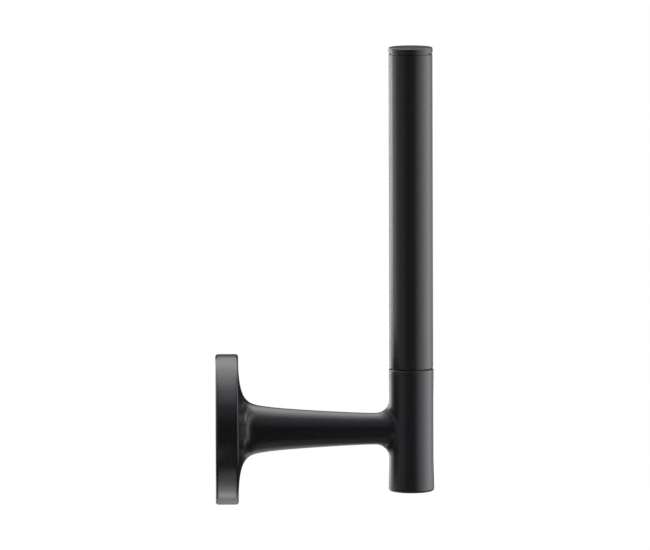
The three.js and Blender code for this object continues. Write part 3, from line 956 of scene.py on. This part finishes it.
def studio_world():
    """Soft dim room light; what the camera, the gloss and any glass see behind the holder is white."""
    room_strength, backdrop_strength, white = 0.5, 1.0, (1, 1, 1, 1)
    world = bpy.data.worlds.new("studio")
    world.use_nodes = True
    bpy.context.scene.world = world
    tree = world.node_tree
    tree.nodes.clear()
    seen = add_node(tree, "ShaderNodeLightPath").outputs
    direct = math_node(tree, "MAXIMUM", seen["Is Camera Ray"], seen["Is Glossy Ray"])
    bright = math_node(tree, "MAXIMUM", direct, seen["Is Transmission Ray"])
    room, backdrop = (
        add_node(tree, "ShaderNodeBackground", None, {"Color": white, "Strength": strength}).outputs[0]
        for strength in (room_strength, backdrop_strength)
    )
    mix = add_node(tree, "ShaderNodeMixShader", None, {0: bright, 1: room, 2: backdrop})
    add_node(tree, "ShaderNodeOutputWorld", None, {"Surface": mix.outputs[0]})


def away(azimuth, elevation):
    """Direction away from the holder; the azimuth is counted from the camera's side, positive to the
    picture's right, and both are in degrees."""
    turn, lift = math.radians(azimuth), math.radians(elevation)
    return Vector((-math.cos(turn) * math.cos(lift), -math.sin(turn) * math.cos(lift), math.sin(lift)))


def face_holder(thing, azimuth, elevation, distance):
    """Stands a lamp or a card off in a direction, its face to the holder."""
    direction = away(azimuth, elevation)
    thing.location = LIT_MIDDLE + direction * distance
    thing.rotation_mode = "QUATERNION"
    thing.rotation_quaternion = (-direction).to_track_quat("-Z", "Y")
    thing.visible_camera = False
    bpy.context.scene.collection.objects.link(thing)


def soft_box(name, azimuth, elevation, distance, width, height, radiance):
    """A soft box of a width and height in degrees, seen from the holder, and the radiance of its face."""
    light = bpy.data.lights.new(name, "AREA")
    light.shape = "RECTANGLE"
    light.size = 2 * distance * math.tan(math.radians(width / 2))
    light.size_y = 2 * distance * math.tan(math.radians(height / 2))
    light.energy = radiance * math.pi * light.size * light.size_y
    face_holder(bpy.data.objects.new(name, light), azimuth, elevation, distance)


def strip_lamp(name, place, length, radiance):
    """A narrow strip lamp above or below the holder, facing down or up at it and turned a little towards
    the wall."""
    light = bpy.data.lights.new(name, "AREA")
    light.shape = "RECTANGLE"
    light.size, light.size_y = length, STRIP_WIDTH
    light.energy = radiance * math.pi * light.size * light.size_y
    strip = bpy.data.objects.new(name, light)
    strip.location = place
    strip.rotation_mode = "QUATERNION"
    facing = Vector((0, STRIP_LEAN, -math.copysign(1, place[2])))
    strip.rotation_quaternion = facing.to_track_quat("-Z", "Y")
    strip.visible_camera = False
    bpy.context.scene.collection.objects.link(strip)


def black_tent():
    """Black cloth round the camera's side, fading out towards its edge, that the coat mirrors. It is out of
    the camera's sight and lets the lamps' light through."""
    rings, spokes, reach, distance = 16, 48, 134, 2.6
    fade_start, fade_end = (math.cos(math.radians(angle)) for angle in TENT_FADE)
    skin = Skin()
    middle = away(*TENT_MIDDLE)
    across = middle.cross(Vector((0, 0, 1))).normalized()
    up = across.cross(middle)
    loops = []
    for i in range(1, rings + 1):
        bend = math.radians(reach * i / rings)
        ring = []
        for j in range(spokes):
            turn = 2 * math.pi * j / spokes
            side = across * math.cos(turn) + up * math.sin(turn)
            ring.append(LIT_MIDDLE + (middle * math.cos(bend) + side * math.sin(bend)) * distance)
        loops.append(skin.add_ring(ring))
    for first, second in zip(loops, loops[1:]):
        skin.band(first, second)
    skin.fan(loops[0], LIT_MIDDLE + middle * distance)
    mesh = skin.mesh("black_tent")
    material, tree, cloth, place, clear = black_cloth("tent_cloth")
    from_middle = add_node(
        tree, "ShaderNodeVectorMath", {"operation": "SUBTRACT"},
        {0: place, 1: LIT_MIDDLE},
    ).outputs[0]
    facing = add_node(
        tree, "ShaderNodeVectorMath", {"operation": "DOT_PRODUCT"},
        {0: from_middle, 1: middle / distance},
    ).outputs["Value"]
    mix_surface(tree, smooth_step(tree, facing, fade_start, fade_end), cloth, clear)
    mesh.materials.append(material)
    tent = bpy.data.objects.new("black_tent", mesh)
    tent.visible_camera = False
    tent.visible_shadow = False
    tent.visible_diffuse = False
    bpy.context.scene.collection.objects.link(tent)


def cloth_card(name, half_width, half_height, cover):
    """A black card, not placed yet, that lets the lamps' light through, and where its cover is under 1 a
    share of the white behind it too."""
    mesh = bpy.data.meshes.new(name)
    corners = [(x * half_width, y * half_height, 0) for x, y in ((-1, -1), (1, -1), (1, 1), (-1, 1))]
    mesh.from_pydata(corners, [], [(0, 1, 2, 3)])
    material, tree, cloth, _, clear = black_cloth(name)
    mix_surface(tree, cover, clear, cloth)
    mesh.materials.append(material)
    card = bpy.data.objects.new(name, mesh)
    card.visible_shadow = False
    card.visible_diffuse = False
    return card


def black_card(name, azimuth, elevation, distance, width, height, cover):
    """A black card that faces the holder, out of the camera's sight."""
    half_width, half_height = (distance * math.tan(math.radians(size / 2)) for size in (width, height))
    card = cloth_card(name, half_width, half_height, cover)
    face_holder(card, azimuth, elevation, distance)


def arm_card():
    """A black card that lies level under the arm, clear of the flange."""
    half_width, half_length, cover = 0.06, 0.052, 0.8
    card = cloth_card("arm_card", half_width, half_length, cover)
    card.location = (-0.03, -0.08, -0.11)
    card.visible_camera = False
    bpy.context.scene.collection.objects.link(card)


def flange_card():
    """A black card that stands upright past the post, on the side away from the camera, for the flange's
    front edge and the trumpet to mirror."""
    half_width, half_height, cover, azimuth = 0.027, 0.06, 1.0, 137
    card = cloth_card("flange_card", half_width, half_height, cover)
    card.location = (0.06, -0.095, 0.0)
    card.rotation_mode = "QUATERNION"
    card.rotation_quaternion = (-away(azimuth, 0)).to_track_quat("-Z", "Y")
    card.visible_camera = False
    bpy.context.scene.collection.objects.link(card)


def studio_lights():
    for name, distance, width, height, boxes in SOFT_BOXES:
        for azimuth, elevation, radiance in boxes:
            soft_box(name, azimuth, elevation, distance, width, height, radiance)
    for strip in STRIPS:
        strip_lamp(*strip)
    black_tent()
    for card in BLACK_CARDS:
        black_card(*card)
    arm_card()
    flange_card()


# Camera: a long lens a little above the holder, square to the arm


IMAGE_WIDTH = 650
MILLIMETRES_PER_PIXEL = 0.431
FOCAL_PIXELS = 9065.0
CAMERA_DISTANCE = FOCAL_PIXELS * MILLIMETRES_PER_PIXEL * MM
CAMERA_ELEVATION = math.radians(6.62)
CAMERA_AZIMUTH = math.radians(-90.69)
CAMERA_ROLL = math.radians(-0.2)
VIEW_MIDDLE = Vector((0, -47.52 * MM, 66.9 * MM))


def camera():
    data = bpy.data.cameras.new("camera")
    data.sensor_width = 36.0
    data.lens = FOCAL_PIXELS * data.sensor_width / IMAGE_WIDTH
    data.clip_start = 0.1
    data.clip_end = 50.0
    back = Vector((
        math.sin(CAMERA_AZIMUTH) * math.cos(CAMERA_ELEVATION),
        -math.cos(CAMERA_AZIMUTH) * math.cos(CAMERA_ELEVATION),
        math.sin(CAMERA_ELEVATION),
    ))
    eye = bpy.data.objects.new("camera", data)
    eye.location = VIEW_MIDDLE + back * CAMERA_DISTANCE
    eye.rotation_mode = "QUATERNION"
    facing = (-back).to_track_quat("-Z", "Y")
    eye.rotation_quaternion = facing @ Matrix.Rotation(CAMERA_ROLL, 4, "Z").to_quaternion()
    bpy.context.scene.collection.objects.link(eye)
    bpy.context.scene.camera = eye


# The holder with its finishes, then the studio round it


cool_sheen = (0.955, 0.968, 1.0)
casting_coat = powder_coat(
    "casting_coat", (0.0098, 0.0102, 0.0118), (0.0118, 0.0122, 0.0138), 0.28, cool_sheen,
)
tube_coat = powder_coat("tube_coat", (0.0102, 0.0105, 0.0114), (0.0122, 0.0125, 0.0134), 0.27)
cap_coat = powder_coat("cap_coat", (0.011, 0.011, 0.0112), (0.013, 0.013, 0.0132), 0.28)
bracket_steel = turned_metal("bracket_steel", (0.40, 0.41, 0.42), (0.50, 0.51, 0.52), 0.34, "Y")
stud_steel = turned_metal("stud_steel", (0.42, 0.43, 0.44), (0.52, 0.53, 0.54), 0.32, "Z", POST_Y)
plug_brass = turned_metal("plug_brass", (0.50, 0.32, 0.11), (0.58, 0.39, 0.15), 0.30, "Z", POST_Y)
fine_pitch = 0.08 * MM
grub_steel = turned_metal(
    "grub_steel", (0.035, 0.035, 0.038), (0.06, 0.06, 0.065), 0.38, "Z", GRUB_Y, fine_pitch,
)
nylon = moulded("black_nylon", (0.005, 0.005, 0.005), (0.008, 0.008, 0.008), 0.6)
rubber = moulded("black_rubber", (0.008, 0.008, 0.008), (0.012, 0.012, 0.012), 0.75)

holder_body(casting_coat)
post_tube(tube_coat)
end_cap(cap_coat)
seam_ring(nylon)
joint_plug(plug_brass)
joint_stud(stud_steel)
cap_o_ring(rubber)
wall_bracket(bracket_steel)
grub_screw(grub_steel)

studio_floor()
studio_world()
studio_lights()
camera()

bpy.context.scene.view_settings.view_transform = "Standard"
